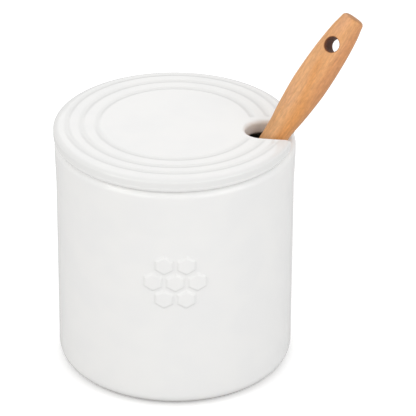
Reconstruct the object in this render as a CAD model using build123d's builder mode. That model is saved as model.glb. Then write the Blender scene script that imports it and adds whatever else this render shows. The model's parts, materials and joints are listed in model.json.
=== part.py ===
"""Round stoneware honey pot: pot body, loose lid with a side notch, and a dipper.

The dipper leans in the lid's notch with its ribbed head on the pot's floor.
Units are millimetres, +Z is up, and the origin is the centre of the base on the table.
"""

import math
import os

from build123d import *

# ---------------------------------------------------------------- pot body
pot_radius = 49.8  # outside of the straight wall
pot_height = 101.5  # table to the top of the rim
wall = 4.4
floor_thickness = 6.5
base_round = 5.5  # outside corner at the bottom
inner_corner_round = 8.0  # inside corner between wall and floor
rim_outer_round = 2.0
rim_inner_round = 1.8
foot_ring_width = 4.0  # flat ring that the pot stands on
foot_recess = 1.2  # how far the base is hollowed inside that ring
recess_round = 0.8

# ---------------------------------------------------------------- raised honeycomb on the pot's front
cell_flats = 8.0  # one hexagon, flat to flat
cell_gap = 1.1
cell_relief = 0.7  # how far the cells stand out of the wall
cell_root = 1.5  # how deep they are rooted in the wall
honeycomb_height = 60.0  # table to the middle cell

# ---------------------------------------------------------------- lid
lid_thickness = 6.3
lid_overhang = 0.4  # how much larger the lid's radius is than the pot's
lid_edge_round = 3.6
lid_under_round = 1.8
lid_rest = Location((-0.45, -0.45, 0), (0, 0, -0.8))  # the loose lid sits a little off the middle
groove_insets = (5.3, 11.15, 17.7)  # groove centres, inward from the lid's edge
groove_width = 2.4
groove_depth = 0.3
groove_land = 3.5  # plain lid left between a groove's end and the notch
ring_depth = 4.0  # locating ring under the lid
ring_width = 3.0
ring_gap = 1.2  # play between the ring and the pot's wall
ring_round = 0.8

# ---------------------------------------------------------------- notch in the lid
notch_angle = -7.0  # direction of the notch, degrees from +X
notch_end_gap = 4.55  # open space between the dipper and the notch's closed end
notch_side_gap = 0.9  # play between the dipper and either side of the notch
notch_bevel = 1.2  # bevel along the notch's upper edge
notch_ring_land = 3.0  # how much wider the gap in the locating ring is, each side

# ---------------------------------------------------------------- dipper: where it leans
rim_play = 0.35  # room between the rim and the handle, which swells a little above it
rest_angle = -112.1  # direction of the head on the pot's floor, degrees from +X
rest_inset = 11.4  # edge of the flat floor to the middle of the head
rest_gap = 0.4  # play under the head
grip_turn = 33.7  # turn of the grip's broad side about the dipper's axis, degrees

# ---------------------------------------------------------------- dipper: wooden handle
grip_above_cross = 58.9  # from the middle of the lid to the grip's end
grip_end_width = 9.3
grip_end_thickness = 8.4
grip_end_round = 1.9  # held to the share below of the grip's end thickness
grip_end_share = 0.4
grip_hole_width = 13.5  # section at the hanging hole
grip_hole_thickness = 9.2
grip_width = 15.1  # broadest section
grip_thickness = 10.0
grip_broadest = 31.5  # grip's end to its broadest section
notch_width = 10.5  # section where the handle passes the lid
notch_thickness = 9.7
shaft_diameter = 9.4  # round shaft inside the pot
shaft_start = 16.0  # below the middle of the lid, where the shaft becomes round
hole_diameter = 6.4
hole_from_end = 13.8

# ---------------------------------------------------------------- dipper: ribbed head and core
head_radius = 12.0
head_half_length = 24.0
neck_diameter = 10.4  # sleeve between the ribs and the handle
neck_length = 6.0  # how far the neck stands out of the head's spindle
rib_pitch = 6.4
rib_groove_count = 5
rib_groove_width = 2.8
rib_groove_floor = 7.2  # radius at the bottom of the grooves
core_diameter = 6.0
core_in_head = 38.0  # how far the core reaches into the head and its neck
core_in_handle = 18.0
core_gap = 0.05  # glue line around the core
core_end_gap = 0.4

# ---------------------------------------------------------------- worked out from the sizes above
inner_radius = pot_radius - wall
lid_radius = pot_radius + lid_overhang
lid_top = pot_height + lid_thickness
ring_outer = inner_radius - ring_gap
ring_inner = ring_outer - ring_width

notch_dir = Vector(1, 0, 0).rotate(Axis.Z, notch_angle)
across = notch_dir.rotate(Axis.Z, 90)
rest_dir = Vector(1, 0, 0).rotate(Axis.Z, rest_angle)
rest_radius = inner_radius - inner_corner_round - rest_inset


def head_drop(direction):
    """How far the spindle-shaped head reaches below its middle when it points that way."""
    level = math.hypot(direction.X, direction.Y)
    return math.hypot(head_half_length * direction.Z, head_radius * level)


def dipper_line(cross_radius):
    """Middle of the resting head, and where the axis passes the middle of the lid."""
    passing = notch_dir * cross_radius + Vector(0, 0, pot_height + lid_thickness / 2)
    resting = rest_dir * rest_radius + Vector(0, 0, floor_thickness)
    steep = (passing - resting - Vector(0, 0, head_half_length)).normalized()
    return resting + Vector(0, 0, head_drop(steep) + rest_gap), passing


def level_half(half_size, direction, toward):
    """Half the level section of a leaning round bar, measured in that level direction."""
    flat = math.hypot(direction.X, direction.Y)
    along = direction.dot(toward) / flat
    return half_size * math.hypot(along / direction.Z, math.sqrt(1 - along**2))


# The handle leans on the inside of the rim, so the rim settles where the axis passes the lid.
rough_head, rough_cross = dipper_line(inner_radius - notch_thickness / 2)
rough_dir = (rough_cross - rough_head).normalized()
outward_run = rough_dir.dot(notch_dir) / rough_dir.Z
handle_out = level_half(notch_thickness / 2, rough_dir, notch_dir)
cross_radius = inner_radius - rim_play - handle_out + outward_run * (lid_thickness + rim_inner_round) / 2
head_middle, cross = dipper_line(cross_radius)
dipper_dir = (cross - head_middle).normalized()
head_to_cross = (cross - head_middle).length

# The dipper's own plane: Z runs up the handle, X across its broad side, origin at the lid.
dipper_axis = Axis(cross, dipper_dir)
level_dir = Vector(-dipper_dir.Y, dipper_dir.X, 0).normalized()
broad_dir = level_dir.rotate(Axis((0, 0, 0), dipper_dir), grip_turn)
dipper_plane = Plane(origin=cross, x_dir=broad_dir, z_dir=dipper_dir)
# The same axis as a drawing plane: X is the distance from the axis, Y runs up the handle.
dipper_side = Plane(origin=cross, x_dir=broad_dir, z_dir=dipper_plane.y_dir * -1)

# The notch leaves room for the leaning handle over the lid's whole thickness.
drift = abs(dipper_dir.dot(across)) / dipper_dir.Z * lid_thickness / 2
notch_half = level_half(notch_width / 2, dipper_dir, across) + drift + notch_side_gap
notch_end = cross_radius - handle_out - outward_run * lid_thickness / 2 - notch_end_gap
notch_plane = Plane(origin=(0, 0, 0), x_dir=notch_dir)


def turned_side(angle):
    """Drawing plane through the pot's axis: X points outward at that angle, Y points up."""
    outward = Vector(1, 0, 0).rotate(Axis.Z, angle)
    return Plane(origin=(0, 0, 0), x_dir=outward, z_dir=outward.rotate(Axis.Z, -90))


# ---------------------------------------------------------------- honeycomb cells
cells_span = 3 * (cell_flats + cell_gap) + 2 * cell_gap

with BuildPart() as honeycomb:
    with BuildSketch(Plane.XY.offset(honeycomb_height - cells_span / 2)):
        Circle(pot_radius + cell_relief)
        Circle(pot_radius - cell_root, mode=Mode.SUBTRACT)
    extrude(amount=cells_span)
    with BuildSketch(Plane.XZ):
        with Locations((0, honeycomb_height)):
            RegularPolygon(cell_flats / 2, 6, major_radius=False, rotation=30)
            with PolarLocations(cell_flats + cell_gap, 6):
                RegularPolygon(cell_flats / 2, 6, major_radius=False, rotation=30)
    extrude(amount=pot_radius + 2 * cell_relief, mode=Mode.INTERSECT)

# ---------------------------------------------------------------- pot body
foot_outer = pot_radius - base_round
foot_inner = foot_outer - foot_ring_width

with BuildPart() as pot_body:
    with BuildSketch(Plane.XZ):
        with BuildLine():
            FilletPolyline(
                (0, foot_recess),
                (foot_inner, foot_recess),
                (foot_inner, 0),
                (pot_radius, 0),
                (pot_radius, pot_height),
                (inner_radius, pot_height),
                (inner_radius, floor_thickness),
                (0, floor_thickness),
                radius=[0, recess_round, 0, base_round, rim_outer_round, rim_inner_round,
                        inner_corner_round, 0],
                close=True,
            )
        make_face()
    revolve(axis=Axis.Z)
    add(honeycomb.part)

# ---------------------------------------------------------------- lid
with BuildPart() as lid:
    with BuildSketch(Plane.XZ):
        with BuildLine():
            FilletPolyline(
                (0, pot_height),
                (ring_inner, pot_height),
                (ring_inner, pot_height - ring_depth),
                (ring_outer, pot_height - ring_depth),
                (ring_outer, pot_height),
                (lid_radius, pot_height),
                (lid_radius, lid_top),
                (0, lid_top),
                radius=[0, ring_round, ring_round, ring_round, 0, lid_under_round, lid_edge_round, 0],
                close=True,
            )
        make_face()
    revolve(axis=Axis.Z)

    # Decorative grooves: shallow round-bottomed rings that stop short of the notch.
    groove_radius = (groove_width**2 / 4 + groove_depth**2) / (2 * groove_depth)
    for inset in groove_insets:
        groove_at = lid_radius - inset
        half_gap = math.degrees(math.asin((notch_half + groove_land) / groove_at))
        with BuildSketch(turned_side(notch_angle + half_gap)):
            with Locations((groove_at, lid_top + groove_radius - groove_depth)):
                Circle(groove_radius)
        revolve(axis=Axis.Z, revolution_arc=360 - 2 * half_gap, mode=Mode.SUBTRACT)

    # The notch: a U open at the lid's edge, bevelled on top, wider where it cuts the ring.
    for level, height, taper in (
        (pot_height - ring_depth, lid_thickness + ring_depth, 0),
        (lid_top - notch_bevel, notch_bevel, -45),
    ):
        with BuildSketch(notch_plane.offset(level)):
            with Locations((notch_end + notch_half, 0)):
                Circle(notch_half)
                Rectangle(lid_radius, 2 * notch_half, align=(Align.MIN, Align.CENTER))
        extrude(amount=height, taper=taper, mode=Mode.SUBTRACT)
    with BuildSketch(notch_plane.offset(pot_height - ring_depth)):
        Rectangle(lid_radius, 2 * (notch_half + notch_ring_land), align=(Align.MIN, Align.CENTER))
    extrude(amount=ring_depth, mode=Mode.SUBTRACT)
lid.part.move(lid_rest)

# ---------------------------------------------------------------- dipper handle
shaft_end = -head_to_cross + head_half_length + neck_length

with BuildPart() as dipper_handle:
    for height, width, thickness in (
        (grip_above_cross, grip_end_width, grip_end_thickness),
        (grip_above_cross - hole_from_end, grip_hole_width, grip_hole_thickness),
        (grip_above_cross - grip_broadest, grip_width, grip_thickness),
        (0, notch_width, notch_thickness),
        (-shaft_start, shaft_diameter, shaft_diameter),
    ):
        with BuildSketch(dipper_plane.offset(height)):
            Ellipse(width / 2, thickness / 2)
    loft()
    fillet(dipper_handle.edges().sort_by_distance(dipper_plane.offset(grip_above_cross).origin)[0],
           min(grip_end_round, grip_end_thickness * grip_end_share))
    with BuildSketch(dipper_plane.offset(shaft_end)):
        Circle(shaft_diameter / 2)
    extrude(amount=-shaft_start - shaft_end)
    with BuildSketch(dipper_plane.offset(shaft_end)):
        Circle(core_diameter / 2 + core_gap)
    extrude(amount=core_in_handle + core_end_gap, mode=Mode.SUBTRACT)
    with BuildSketch(dipper_side.offset(-grip_thickness)):
        with Locations((0, grip_above_cross - hole_from_end)):
            Circle(hole_diameter / 2)
    extrude(amount=2 * grip_thickness, mode=Mode.SUBTRACT)

# ---------------------------------------------------------------- ribbed head
with BuildPart() as dipper_head:
    with BuildSketch(dipper_side):
        with Locations((0, -head_to_cross)):
            Ellipse(head_radius, head_half_length)
            Rectangle(neck_diameter, head_half_length + neck_length, align=(Align.CENTER, Align.MIN))
            with GridLocations(0, rib_pitch, 1, rib_groove_count):
                with Locations((rib_groove_floor, 0)):
                    Rectangle(head_radius, rib_groove_width, align=(Align.MIN, Align.CENTER),
                              mode=Mode.SUBTRACT)
        with Locations((0, -head_to_cross)):
            Rectangle(head_radius, 4 * head_half_length, align=(Align.MAX, Align.CENTER),
                      mode=Mode.SUBTRACT)
            with Locations((0, head_half_length + neck_length)):
                Rectangle(core_diameter / 2 + core_gap, core_in_head + core_end_gap,
                          align=(Align.MIN, Align.MAX), mode=Mode.SUBTRACT)
    revolve(axis=dipper_axis)

# ---------------------------------------------------------------- core that joins head and handle
with BuildPart() as dipper_core:
    with BuildSketch(dipper_plane.offset(shaft_end - core_in_head)):
        Circle(core_diameter / 2)
    extrude(amount=core_in_head + core_in_handle)

# ---------------------------------------------------------------- the finished pieces
os.makedirs("parts", exist_ok=True)
pot_body.part.label = "pot_body"
export_step(pot_body.part, "parts/pot_body.step")
lid.part.label = "lid"
export_step(lid.part, "parts/lid.step")
dipper_handle.part.label = "dipper_handle"
export_step(dipper_handle.part, "parts/dipper_handle.step")
dipper_head.part.label = "dipper_head"
export_step(dipper_head.part, "parts/dipper_head.step")
dipper_core.part.label = "dipper_core"
export_step(dipper_core.part, "parts/dipper_core.step")
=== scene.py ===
"""Dresses the stoneware honey pot: its pot, its notched lid and the beech dipper that leans in it.

Lengths are in metres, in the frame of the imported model: +Z is up, the pot stands on the floor at
Z = 0 round the Z axis, and its front, with the raised honeycomb, faces -Y.
"""

import json
import logging
import math
from collections.abc import Sequence
from dataclasses import dataclass, field
from enum import StrEnum
from typing import NamedTuple

import bmesh
import bpy
import numpy as np
from bpy.types import ID, Material, Mesh, Node, NodeSocket, NodeTree, Object
from mathutils import Matrix, Vector


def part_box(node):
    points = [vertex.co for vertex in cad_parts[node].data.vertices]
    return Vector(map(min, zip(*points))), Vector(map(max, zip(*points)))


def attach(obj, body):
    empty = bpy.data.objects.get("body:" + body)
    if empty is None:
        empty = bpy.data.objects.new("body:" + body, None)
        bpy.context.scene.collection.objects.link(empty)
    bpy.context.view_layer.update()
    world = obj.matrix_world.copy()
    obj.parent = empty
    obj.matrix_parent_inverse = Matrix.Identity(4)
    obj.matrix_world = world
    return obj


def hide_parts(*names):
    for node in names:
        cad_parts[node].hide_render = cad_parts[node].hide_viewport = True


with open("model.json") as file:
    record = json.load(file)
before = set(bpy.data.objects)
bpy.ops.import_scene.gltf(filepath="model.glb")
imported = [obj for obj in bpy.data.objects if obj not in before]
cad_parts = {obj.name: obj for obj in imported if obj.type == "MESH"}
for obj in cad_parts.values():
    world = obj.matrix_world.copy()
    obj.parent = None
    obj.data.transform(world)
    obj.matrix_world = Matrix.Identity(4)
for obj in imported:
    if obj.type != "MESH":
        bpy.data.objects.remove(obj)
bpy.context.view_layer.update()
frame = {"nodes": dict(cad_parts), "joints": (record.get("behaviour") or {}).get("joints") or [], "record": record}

LOG = logging.getLogger("honey_pot")
MM = 0.001
QUARTER = math.pi / 2
ARC_STEP = math.radians(7.5)  # turn between neighbouring points of a rounded corner
WELD_DISTANCE = 0.001 * MM
TOLERANCE = 0.01 * MM
WHITE = (1.0, 1.0, 1.0)
MIX_INPUTS, MIX_OUTPUT = (0, 6, 7), 2  # a Mix node's sockets for colours, which share their names with others

Array = np.ndarray
Colour = tuple[float, float, float]
Pair = tuple[float, float]
Fed = NodeSocket | float | Sequence[float]  # what a node's input takes: a socket to wire, or a value


class Mask(StrEnum):
    """What is painted on a piece for its finish to read, from 0 to 1."""

    POOL_AND_SHADE = "pool"  # glaze gathers here, and painted shade darkens it; on the lid's outer face it is painted shade only
    NOTCH_SHADE = "thin"  # painted shade and a warm painted reflection of the handle, on the notch's far wall
    BARE_AND_SHADE = "bare"  # clay without glaze, darkened as painted contact shade at the pot's foot
    END_GRAIN_AND_SHADE = "end_grain"  # wood cut across its grain, and painted shade in the hanging hole


# ---- curves as arrays
def eased(value: Array, start: float | Array, end: float | Array) -> Array:
    """Eases from 0 at start to 1 at end: 3t^2 - 2t^3, with t the share of the way, held to 0..1."""
    t = np.clip((value - start) / (end - start), 0.0, 1.0)
    return t * t * (3.0 - 2.0 * t)


def quarter_round(size: float, steps: int) -> Array:
    """Distances from 0 to size that are even in angle on a quarter circle: size * (1 - cos a)."""
    return size * (1.0 - np.cos(np.linspace(0.0, QUARTER, steps)))


def round_drop(distance: Array, radius: float) -> Array:
    """How far a rounded edge is down at a distance d in from its face: r - sqrt(r^2 - (r - d)^2)."""
    short = np.clip(radius - distance, 0.0, radius)
    return radius - np.sqrt(radius**2 - short**2)


def blend_max(first: Array, second: Array, power: float = 4.0) -> Array:
    """The larger of two heights with a soft crossing: (a^p + b^p)^(1/p)."""
    return (first**power + second**power) ** (1.0 / power)


def smooth_through(stations: Array, values: Array, at: Array) -> Array:
    """A smooth curve through stations that never overshoots them, and is level beyond them.

    Between stations it is a cubic Hermite curve. The slope at a station is the harmonic mean of the
    two neighbouring slopes where they have the same sign, and 0 where they don't.

    Args:
        stations: increasing places.
        values: the values at each station, in one row or several.
        at: places to work the curve out at.

    Returns:
        The values at each place, in as many rows.
    """
    run = np.diff(stations)
    slope = np.diff(values) / run
    before, after = slope[..., :-1], slope[..., 1:]
    same = before * after > 0
    tangent = np.zeros_like(values)
    tangent[..., 1:-1] = np.where(same, 2 * before * after / np.where(same, before + after, 1.0), 0.0)
    held = np.clip(at, stations[0], stations[-1])
    left = np.clip(np.searchsorted(stations, held) - 1, 0, len(run) - 1)
    t = (held - stations[left]) / run[left]
    return (
        values[..., left] * (2 * t**3 - 3 * t**2 + 1)
        + values[..., left + 1] * (3 * t**2 - 2 * t**3)
        + tangent[..., left] * run[left] * (t**3 - 2 * t**2 + t)
        + tangent[..., left + 1] * run[left] * (t**3 - t**2)
    )


class Corner(NamedTuple):
    """A corner of an outline, its rounding, and the longest step on the run that leads to it."""

    radius: float
    height: float
    rounding: float = 0.0
    step: float = 6.0 * MM


def rounded_path(corners: Sequence[Corner]) -> Array:
    """An outline whose corners are circular arcs.

    An arc of radius r at a corner that turns by an angle t starts r * tan(t / 2) before the corner.
    With a the incoming direction and m the direction across it towards the turn, its points are
    start + r * (a * sin(f) + m * (1 - cos(f))), for f from 0 to t.

    Args:
        corners: the corners in order. The first and the last are sharp.

    Returns:
        Radius and height of its points, shape (n, 2).
    """
    p = np.array([corner[:2] for corner in corners])
    ahead = np.diff(p, axis=0)
    ahead /= np.linalg.norm(ahead, axis=1)[:, None]
    pieces, last = [p[:1]], p[0]
    for i, corner in enumerate(corners[1:], 1):
        start = p[i]
        if corner.rounding:
            a, b = ahead[i - 1], ahead[i]
            turn = math.acos(np.clip(a @ b, -1, 1))
            start = start - a * corner.rounding * math.tan(turn / 2)
        count = max(1, math.ceil(np.linalg.norm(start - last) / corner.step))
        share = np.linspace(0.0, 1.0, count + 1)[1:, None]
        pieces.append(last + (start - last) * share)
        last = start
        if corner.rounding:
            m = np.sign(a[0] * b[1] - a[1] * b[0]) * np.array([-a[1], a[0]])
            f = np.linspace(0.0, turn, max(3, math.ceil(turn / ARC_STEP)) + 1)[1:, None]
            pieces.append(start + corner.rounding * (a * np.sin(f) + m * (1 - np.cos(f))))
            last = pieces[-1][-1]
    return np.concatenate(pieces)


# ---- surfaces into meshes
@dataclass
class Patch:
    """A grid of surface points.

    Attributes:
        points: shape (rows, columns, 3).
        masks: what is painted on the grid, each of shape (rows, columns).
        open_quads: the quads left out, shape (rows - 1, columns - 1), or None to fill them all.
    """

    points: Array
    masks: dict[Mask, Array] = field(default_factory=dict)
    open_quads: Array | None = None

    def quads(self, start: int) -> Array:
        """The quads as vertex numbers, which are start + row * columns + column.

        Args:
            start: number of the grid's first vertex.

        Returns:
            Vertex numbers, shape (quads, 4).
        """
        rows, columns = self.points.shape[:2]
        number = start + np.arange(rows * columns).reshape(rows, columns)
        quads = np.stack([number[:-1, :-1], number[:-1, 1:], number[1:, 1:], number[1:, :-1]], axis=-1)
        return quads.reshape(-1, 4) if self.open_quads is None else quads[~self.open_quads]


def weld(mesh: Mesh) -> None:
    """Merges doubled points, closes seams and poles, and points every face outward.

    Args:
        mesh: the mesh, changed in place.
    """
    shell = bmesh.new()
    shell.from_mesh(mesh)
    bmesh.ops.remove_doubles(shell, verts=shell.verts, dist=WELD_DISTANCE)
    bmesh.ops.recalc_face_normals(shell, faces=shell.faces)
    shell.to_mesh(mesh)
    shell.free()


def show(name: str, data: ID) -> Object:
    """A new object that holds the data, in the scene.

    Args:
        name: the object's name.
        data: its mesh, lamp or camera.

    Returns:
        The object.
    """
    shown = bpy.data.objects.new(name, data)
    bpy.context.scene.collection.objects.link(shown)
    return shown


def make_piece(
    name: str, patches: Sequence[Patch], body: str, stands_for: str, material: Material
) -> Object:
    """One closed piece from its patches, riding on a body in place of a plain solid.

    Args:
        name: the piece's name.
        patches: grids that meet edge to edge.
        body: the body that it moves with.
        stands_for: the plain solid that it replaces.
        material: what it is made of.

    Returns:
        The piece.
    """
    starts = np.cumsum([0] + [patch.points[..., 0].size for patch in patches])
    places = np.concatenate([patch.points.reshape(-1, 3) for patch in patches])
    quads = np.concatenate([patch.quads(start) for patch, start in zip(patches, starts)])
    mesh = bpy.data.meshes.new(name)
    mesh.vertices.add(len(places))
    mesh.vertices.foreach_set("co", places.astype(np.float32).ravel())
    mesh.loops.add(quads.size)
    mesh.loops.foreach_set("vertex_index", quads.astype(np.int32).ravel())
    mesh.polygons.add(len(quads))
    mesh.polygons.foreach_set("loop_start", np.arange(0, quads.size, 4, dtype=np.int32))
    mesh.update(calc_edges=True)
    for mask in sorted({key for patch in patches for key in patch.masks}):
        values = [patch.masks.get(mask, np.zeros(patch.points.shape[:2])).ravel() for patch in patches]
        layer = mesh.attributes.new(mask, "FLOAT", "POINT")
        layer.data.foreach_set("value", np.concatenate(values).astype(np.float32))
    weld(mesh)
    mesh.polygons.foreach_set("use_smooth", np.ones(len(mesh.polygons), dtype=bool))
    mesh.materials.append(material)
    piece = show(name, mesh)
    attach(piece, body)
    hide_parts(stands_for)
    return piece


def lathe(profile: Array, turns: Array, stand_out: Array | float = 0.0) -> Array:
    """A profile turned round the Z axis, with turn 0 towards -Y.

    A point is ((r + d) * sin(t), -(r + d) * cos(t), z), with r and z from the profile, t the turn
    and d what the surface stands out there.

    Args:
        profile: radius and height, shape (rows, 2).
        turns: angles, shape (columns,).
        stand_out: extra radius, shape (rows, columns), or one number.

    Returns:
        Points, shape (rows, columns, 3).
    """
    radius, height, turn = np.broadcast_arrays(profile[:, :1] + stand_out, profile[:, 1:], turns)
    return np.stack([radius * np.sin(turn), -radius * np.cos(turn), height], axis=-1)


@dataclass(frozen=True)
class Placement:
    """A place and three directions, in rows, for shapes that are worked out round their own axis."""

    origin: Array
    axes: Array

    def to_frame(self, points: Array) -> Array:
        """Moves local points to the frame: origin + x * across + y * through + z * along."""
        return self.origin + points @ self.axes


# ---- finishes
class Canvas:
    """A node tree that is filled by short calls, with nodes laid out from left to right."""

    def __init__(self, tree: NodeTree) -> None:
        """Empties the tree and starts at its left."""
        self.tree = tree
        self.count = 0
        tree.nodes.clear()

    def feed(self, socket: NodeSocket, value: Fed) -> None:
        """Wires an input to an output socket, or sets its value, with full alpha on a colour.

        Args:
            socket: the input.
            value: what it takes.
        """
        if isinstance(value, NodeSocket):
            self.tree.links.new(value, socket)
        else:
            socket.default_value = (*value, 1.0) if socket.type == "RGBA" else value

    def add(self, kind: str, links: dict[str | int, Fed] | None = None, **settings: object) -> Node:
        """Adds a node, sets it up and feeds its inputs.

        Args:
            kind: the node's type name.
            links: what each input takes, by name or number.
            settings: properties of the node, such as operation or blend_type.

        Returns:
            The node.
        """
        node = self.tree.nodes.new(kind)
        node.location = (self.count * 190, (self.count % 5) * -150)
        self.count += 1
        for key, value in settings.items():
            setattr(node, key, value)
        for key, value in (links or {}).items():
            self.feed(node.inputs[key], value)
        return node

    def math(self, operation: str, *terms: Fed) -> NodeSocket:
        """The output of a Math node with these terms."""
        return self.add("ShaderNodeMath", dict(enumerate(terms)), operation=operation).outputs[0]

    def times(self, *terms: Fed) -> NodeSocket:
        """The product of two terms."""
        return self.math("MULTIPLY", *terms)

    def ease(self, value: Fed, start: float, end: float, low: float = 0.0, high: float = 1.0) -> NodeSocket:
        """A value eased from low at the start to high at the end, and held between them."""
        links = {"Value": value, "From Min": start, "From Max": end, "To Min": low, "To Max": high}
        return self.add("ShaderNodeMapRange", links, interpolation_type="SMOOTHSTEP").outputs["Result"]

    def mix(self, share: Fed, first: Fed, second: Fed, blend: str = "MIX") -> NodeSocket:
        """Two colours mixed by a share."""
        links = dict(zip(MIX_INPUTS, (share, first, second)))
        return self.add("ShaderNodeMix", links, data_type="RGBA", blend_type=blend).outputs[MIX_OUTPUT]

    def noise(self, place: Fed, scale: Fed, detail: float = 2.0, roughness: float = 0.5) -> NodeSocket:
        """The value of a Noise texture, about 0.5 on average."""
        links = {"Vector": place, "Scale": scale, "Detail": detail, "Roughness": roughness}
        return self.add("ShaderNodeTexNoise", links).outputs["Fac"]

    def place(self) -> NodeSocket:
        """Object coordinates, which are the place on the piece in the frame."""
        return self.add("ShaderNodeTexCoord").outputs["Object"]

    def mask(self, mask: Mask) -> NodeSocket:
        """What is painted on the piece under this name."""
        return self.add("ShaderNodeAttribute", attribute_name=mask).outputs["Fac"]


class Coat(Canvas):
    """The node tree of a material with one Principled shader."""

    def __init__(self, name: str) -> None:
        """A new material with only its shader and output.

        Args:
            name: the material's name.
        """
        self.material = bpy.data.materials.new(name)
        self.material.use_nodes = True
        super().__init__(self.material.node_tree)
        self.shader = self.add("ShaderNodeBsdfPrincipled")
        self.add("ShaderNodeOutputMaterial", {"Surface": self.shader.outputs["BSDF"]})

    def finish(self, colour: Fed, roughness: Fed, height: Fed, bump: float = 1.0, **others: Fed) -> Material:
        """Feeds the shader.

        Args:
            colour: its base colour.
            roughness: its roughness.
            height: the height of its bumps, in metres.
            bump: how strong they are.
            others: what other inputs take, with _ for each space of their names.

        Returns:
            The material.
        """
        raised = self.add("ShaderNodeBump", {"Height": height, "Strength": bump, "Distance": 1.0})
        links = {"Base_Color": colour, "Roughness": roughness, "Normal": raised.outputs[0], **others}
        for key, value in links.items():
            self.feed(self.shader.inputs[key.replace("_", " ")], value)
        LOG.info("%s made", self.material.name)
        return self.material


def scaled(colour: Colour, share: float) -> Colour:
    """A colour made darker or lighter by a share."""
    return tuple(channel * share for channel in colour)


def surface_group() -> NodeTree:
    """The slow waves and fine grain of a formed surface, as a height and a mask.

    Height is wave * noise at the wave scale + grain * noise at the grain scale. Mask is slow noise
    eased from 0 to 1, for colour and roughness.

    Returns:
        The group, built once.
    """
    name = "maker_surface"
    if name in bpy.data.node_groups:
        return bpy.data.node_groups[name]
    group = bpy.data.node_groups.new(name, "ShaderNodeTree")
    for way, kind, sockets in (("INPUT", "Vector", ("Vector",)),
                               ("INPUT", "Float", ("Wave Scale", "Grain Scale", "Wave", "Grain")),
                               ("OUTPUT", "Float", ("Height", "Mask"))):
        for socket in sockets:
            group.interface.new_socket(socket, in_out=way, socket_type="NodeSocket" + kind)
    canvas = Canvas(group)
    given = canvas.add("NodeGroupInput").outputs
    wave = canvas.noise(given["Vector"], given["Wave Scale"], detail=1.0)
    grain = canvas.noise(given["Vector"], given["Grain Scale"], detail=3.0)
    height = canvas.math("MULTIPLY_ADD", grain, given["Grain"], canvas.times(wave, given["Wave"]))
    canvas.add("NodeGroupOutput", {"Height": height, "Mask": canvas.ease(wave, 0.35, 0.65)})
    return group


@dataclass(frozen=True)
class SurfaceFeel:
    """How wavy and how grainy a finish is. Scales are in features per metre, the others in metres."""

    wave_scale: float
    grain_scale: float
    wave: float
    grain: float

    def over(self, coat: Coat) -> tuple[NodeSocket, NodeSocket]:
        """Puts the shared surface group into a material, with this finish's values.

        Args:
            coat: the material's canvas.

        Returns:
            The group's height and its mask.
        """
        links = {"Vector": coat.place(), "Wave Scale": self.wave_scale, "Grain Scale": self.grain_scale,
                 "Wave": self.wave, "Grain": self.grain}
        outputs = coat.add("ShaderNodeGroup", links, node_tree=surface_group()).outputs
        return outputs["Height"], outputs["Mask"]


@dataclass(frozen=True)
class Glaze:
    """White glaze on stoneware: fuller in hollows, where painted shade darkens it too; painted shade on the lid's
    outer face; painted shade and a warm painted reflection of the handle on the notch's wall; and wiped off the
    foot, whose bare band is painted dark as contact shade.
    """

    colour: Colour = (0.870, 0.867, 0.858)
    second_colour: Colour = (0.855, 0.854, 0.849)
    # glaze pooled in hollows and darkened as painted shade, and the painted shade on the lid's outer face
    pooled_and_shaded_colour: Colour = (0.800, 0.800, 0.792)
    # painted shade with a warm painted reflection of the beech handle, for the notch's far wall
    notch_shade_colour: Colour = (0.640, 0.545, 0.460)
    # bare clay, darkened as painted contact shade where the pot meets the floor
    clay_and_shade_colour: Colour = (0.590, 0.580, 0.566)
    clay_spread: float = 0.15  # how much darker and lighter its grains are
    gloss_roughness: Pair = (0.10, 0.14)
    clay_roughness: float = 0.85
    index: float = 1.5
    sand_scale: float = 2600.0
    sand_height: float = 0.2 * MM
    feel: SurfaceFeel = SurfaceFeel(wave_scale=70.0, grain_scale=1500.0, wave=0.12 * MM, grain=0.006 * MM)

    def material(self) -> Material:
        """The glaze, with the piece's masks for pooled glaze with painted shade, for painted shade and reflection
        on the notch's wall, and for bare clay with painted contact shade.

        Returns:
            The material.
        """
        coat = Coat("white_glaze")
        height, cloud = self.feel.over(coat)
        # masks: pooled glaze with painted shade, painted shade with a painted reflection of the handle on the
        # notch's wall, and bare clay painted dark as contact shade
        pool, thin, bare = coat.mask(Mask.POOL_AND_SHADE), coat.mask(Mask.NOTCH_SHADE), coat.mask(Mask.BARE_AND_SHADE)
        plain = coat.mix(cloud, self.colour, self.second_colour)
        filled = coat.mix(thin, coat.mix(pool, plain, self.pooled_and_shaded_colour), self.notch_shade_colour)
        sand = coat.noise(coat.place(), self.sand_scale)
        clay = coat.mix(sand, *(scaled(self.clay_and_shade_colour, 1 + side * self.clay_spread) for side in (-1, 1)))
        gloss = coat.ease(cloud, 0.0, 1.0, *self.gloss_roughness)
        roughness = coat.math("MAXIMUM", gloss, coat.times(bare, self.clay_roughness))
        bumps = coat.math("ADD", height, coat.times(coat.times(sand, bare), self.sand_height))
        return coat.finish(coat.mix(bare, filled, clay), roughness, bumps, IOR=self.index)


@dataclass(frozen=True)
class WoodNoise:
    """A noise in the wood, drawn out along the dipper."""

    drawn: float  # the share of the length that it sees: a smaller one makes longer marks
    scale: float  # features per metre across the grain
    detail: float = 1.0
    roughness: float = 0.5


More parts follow.
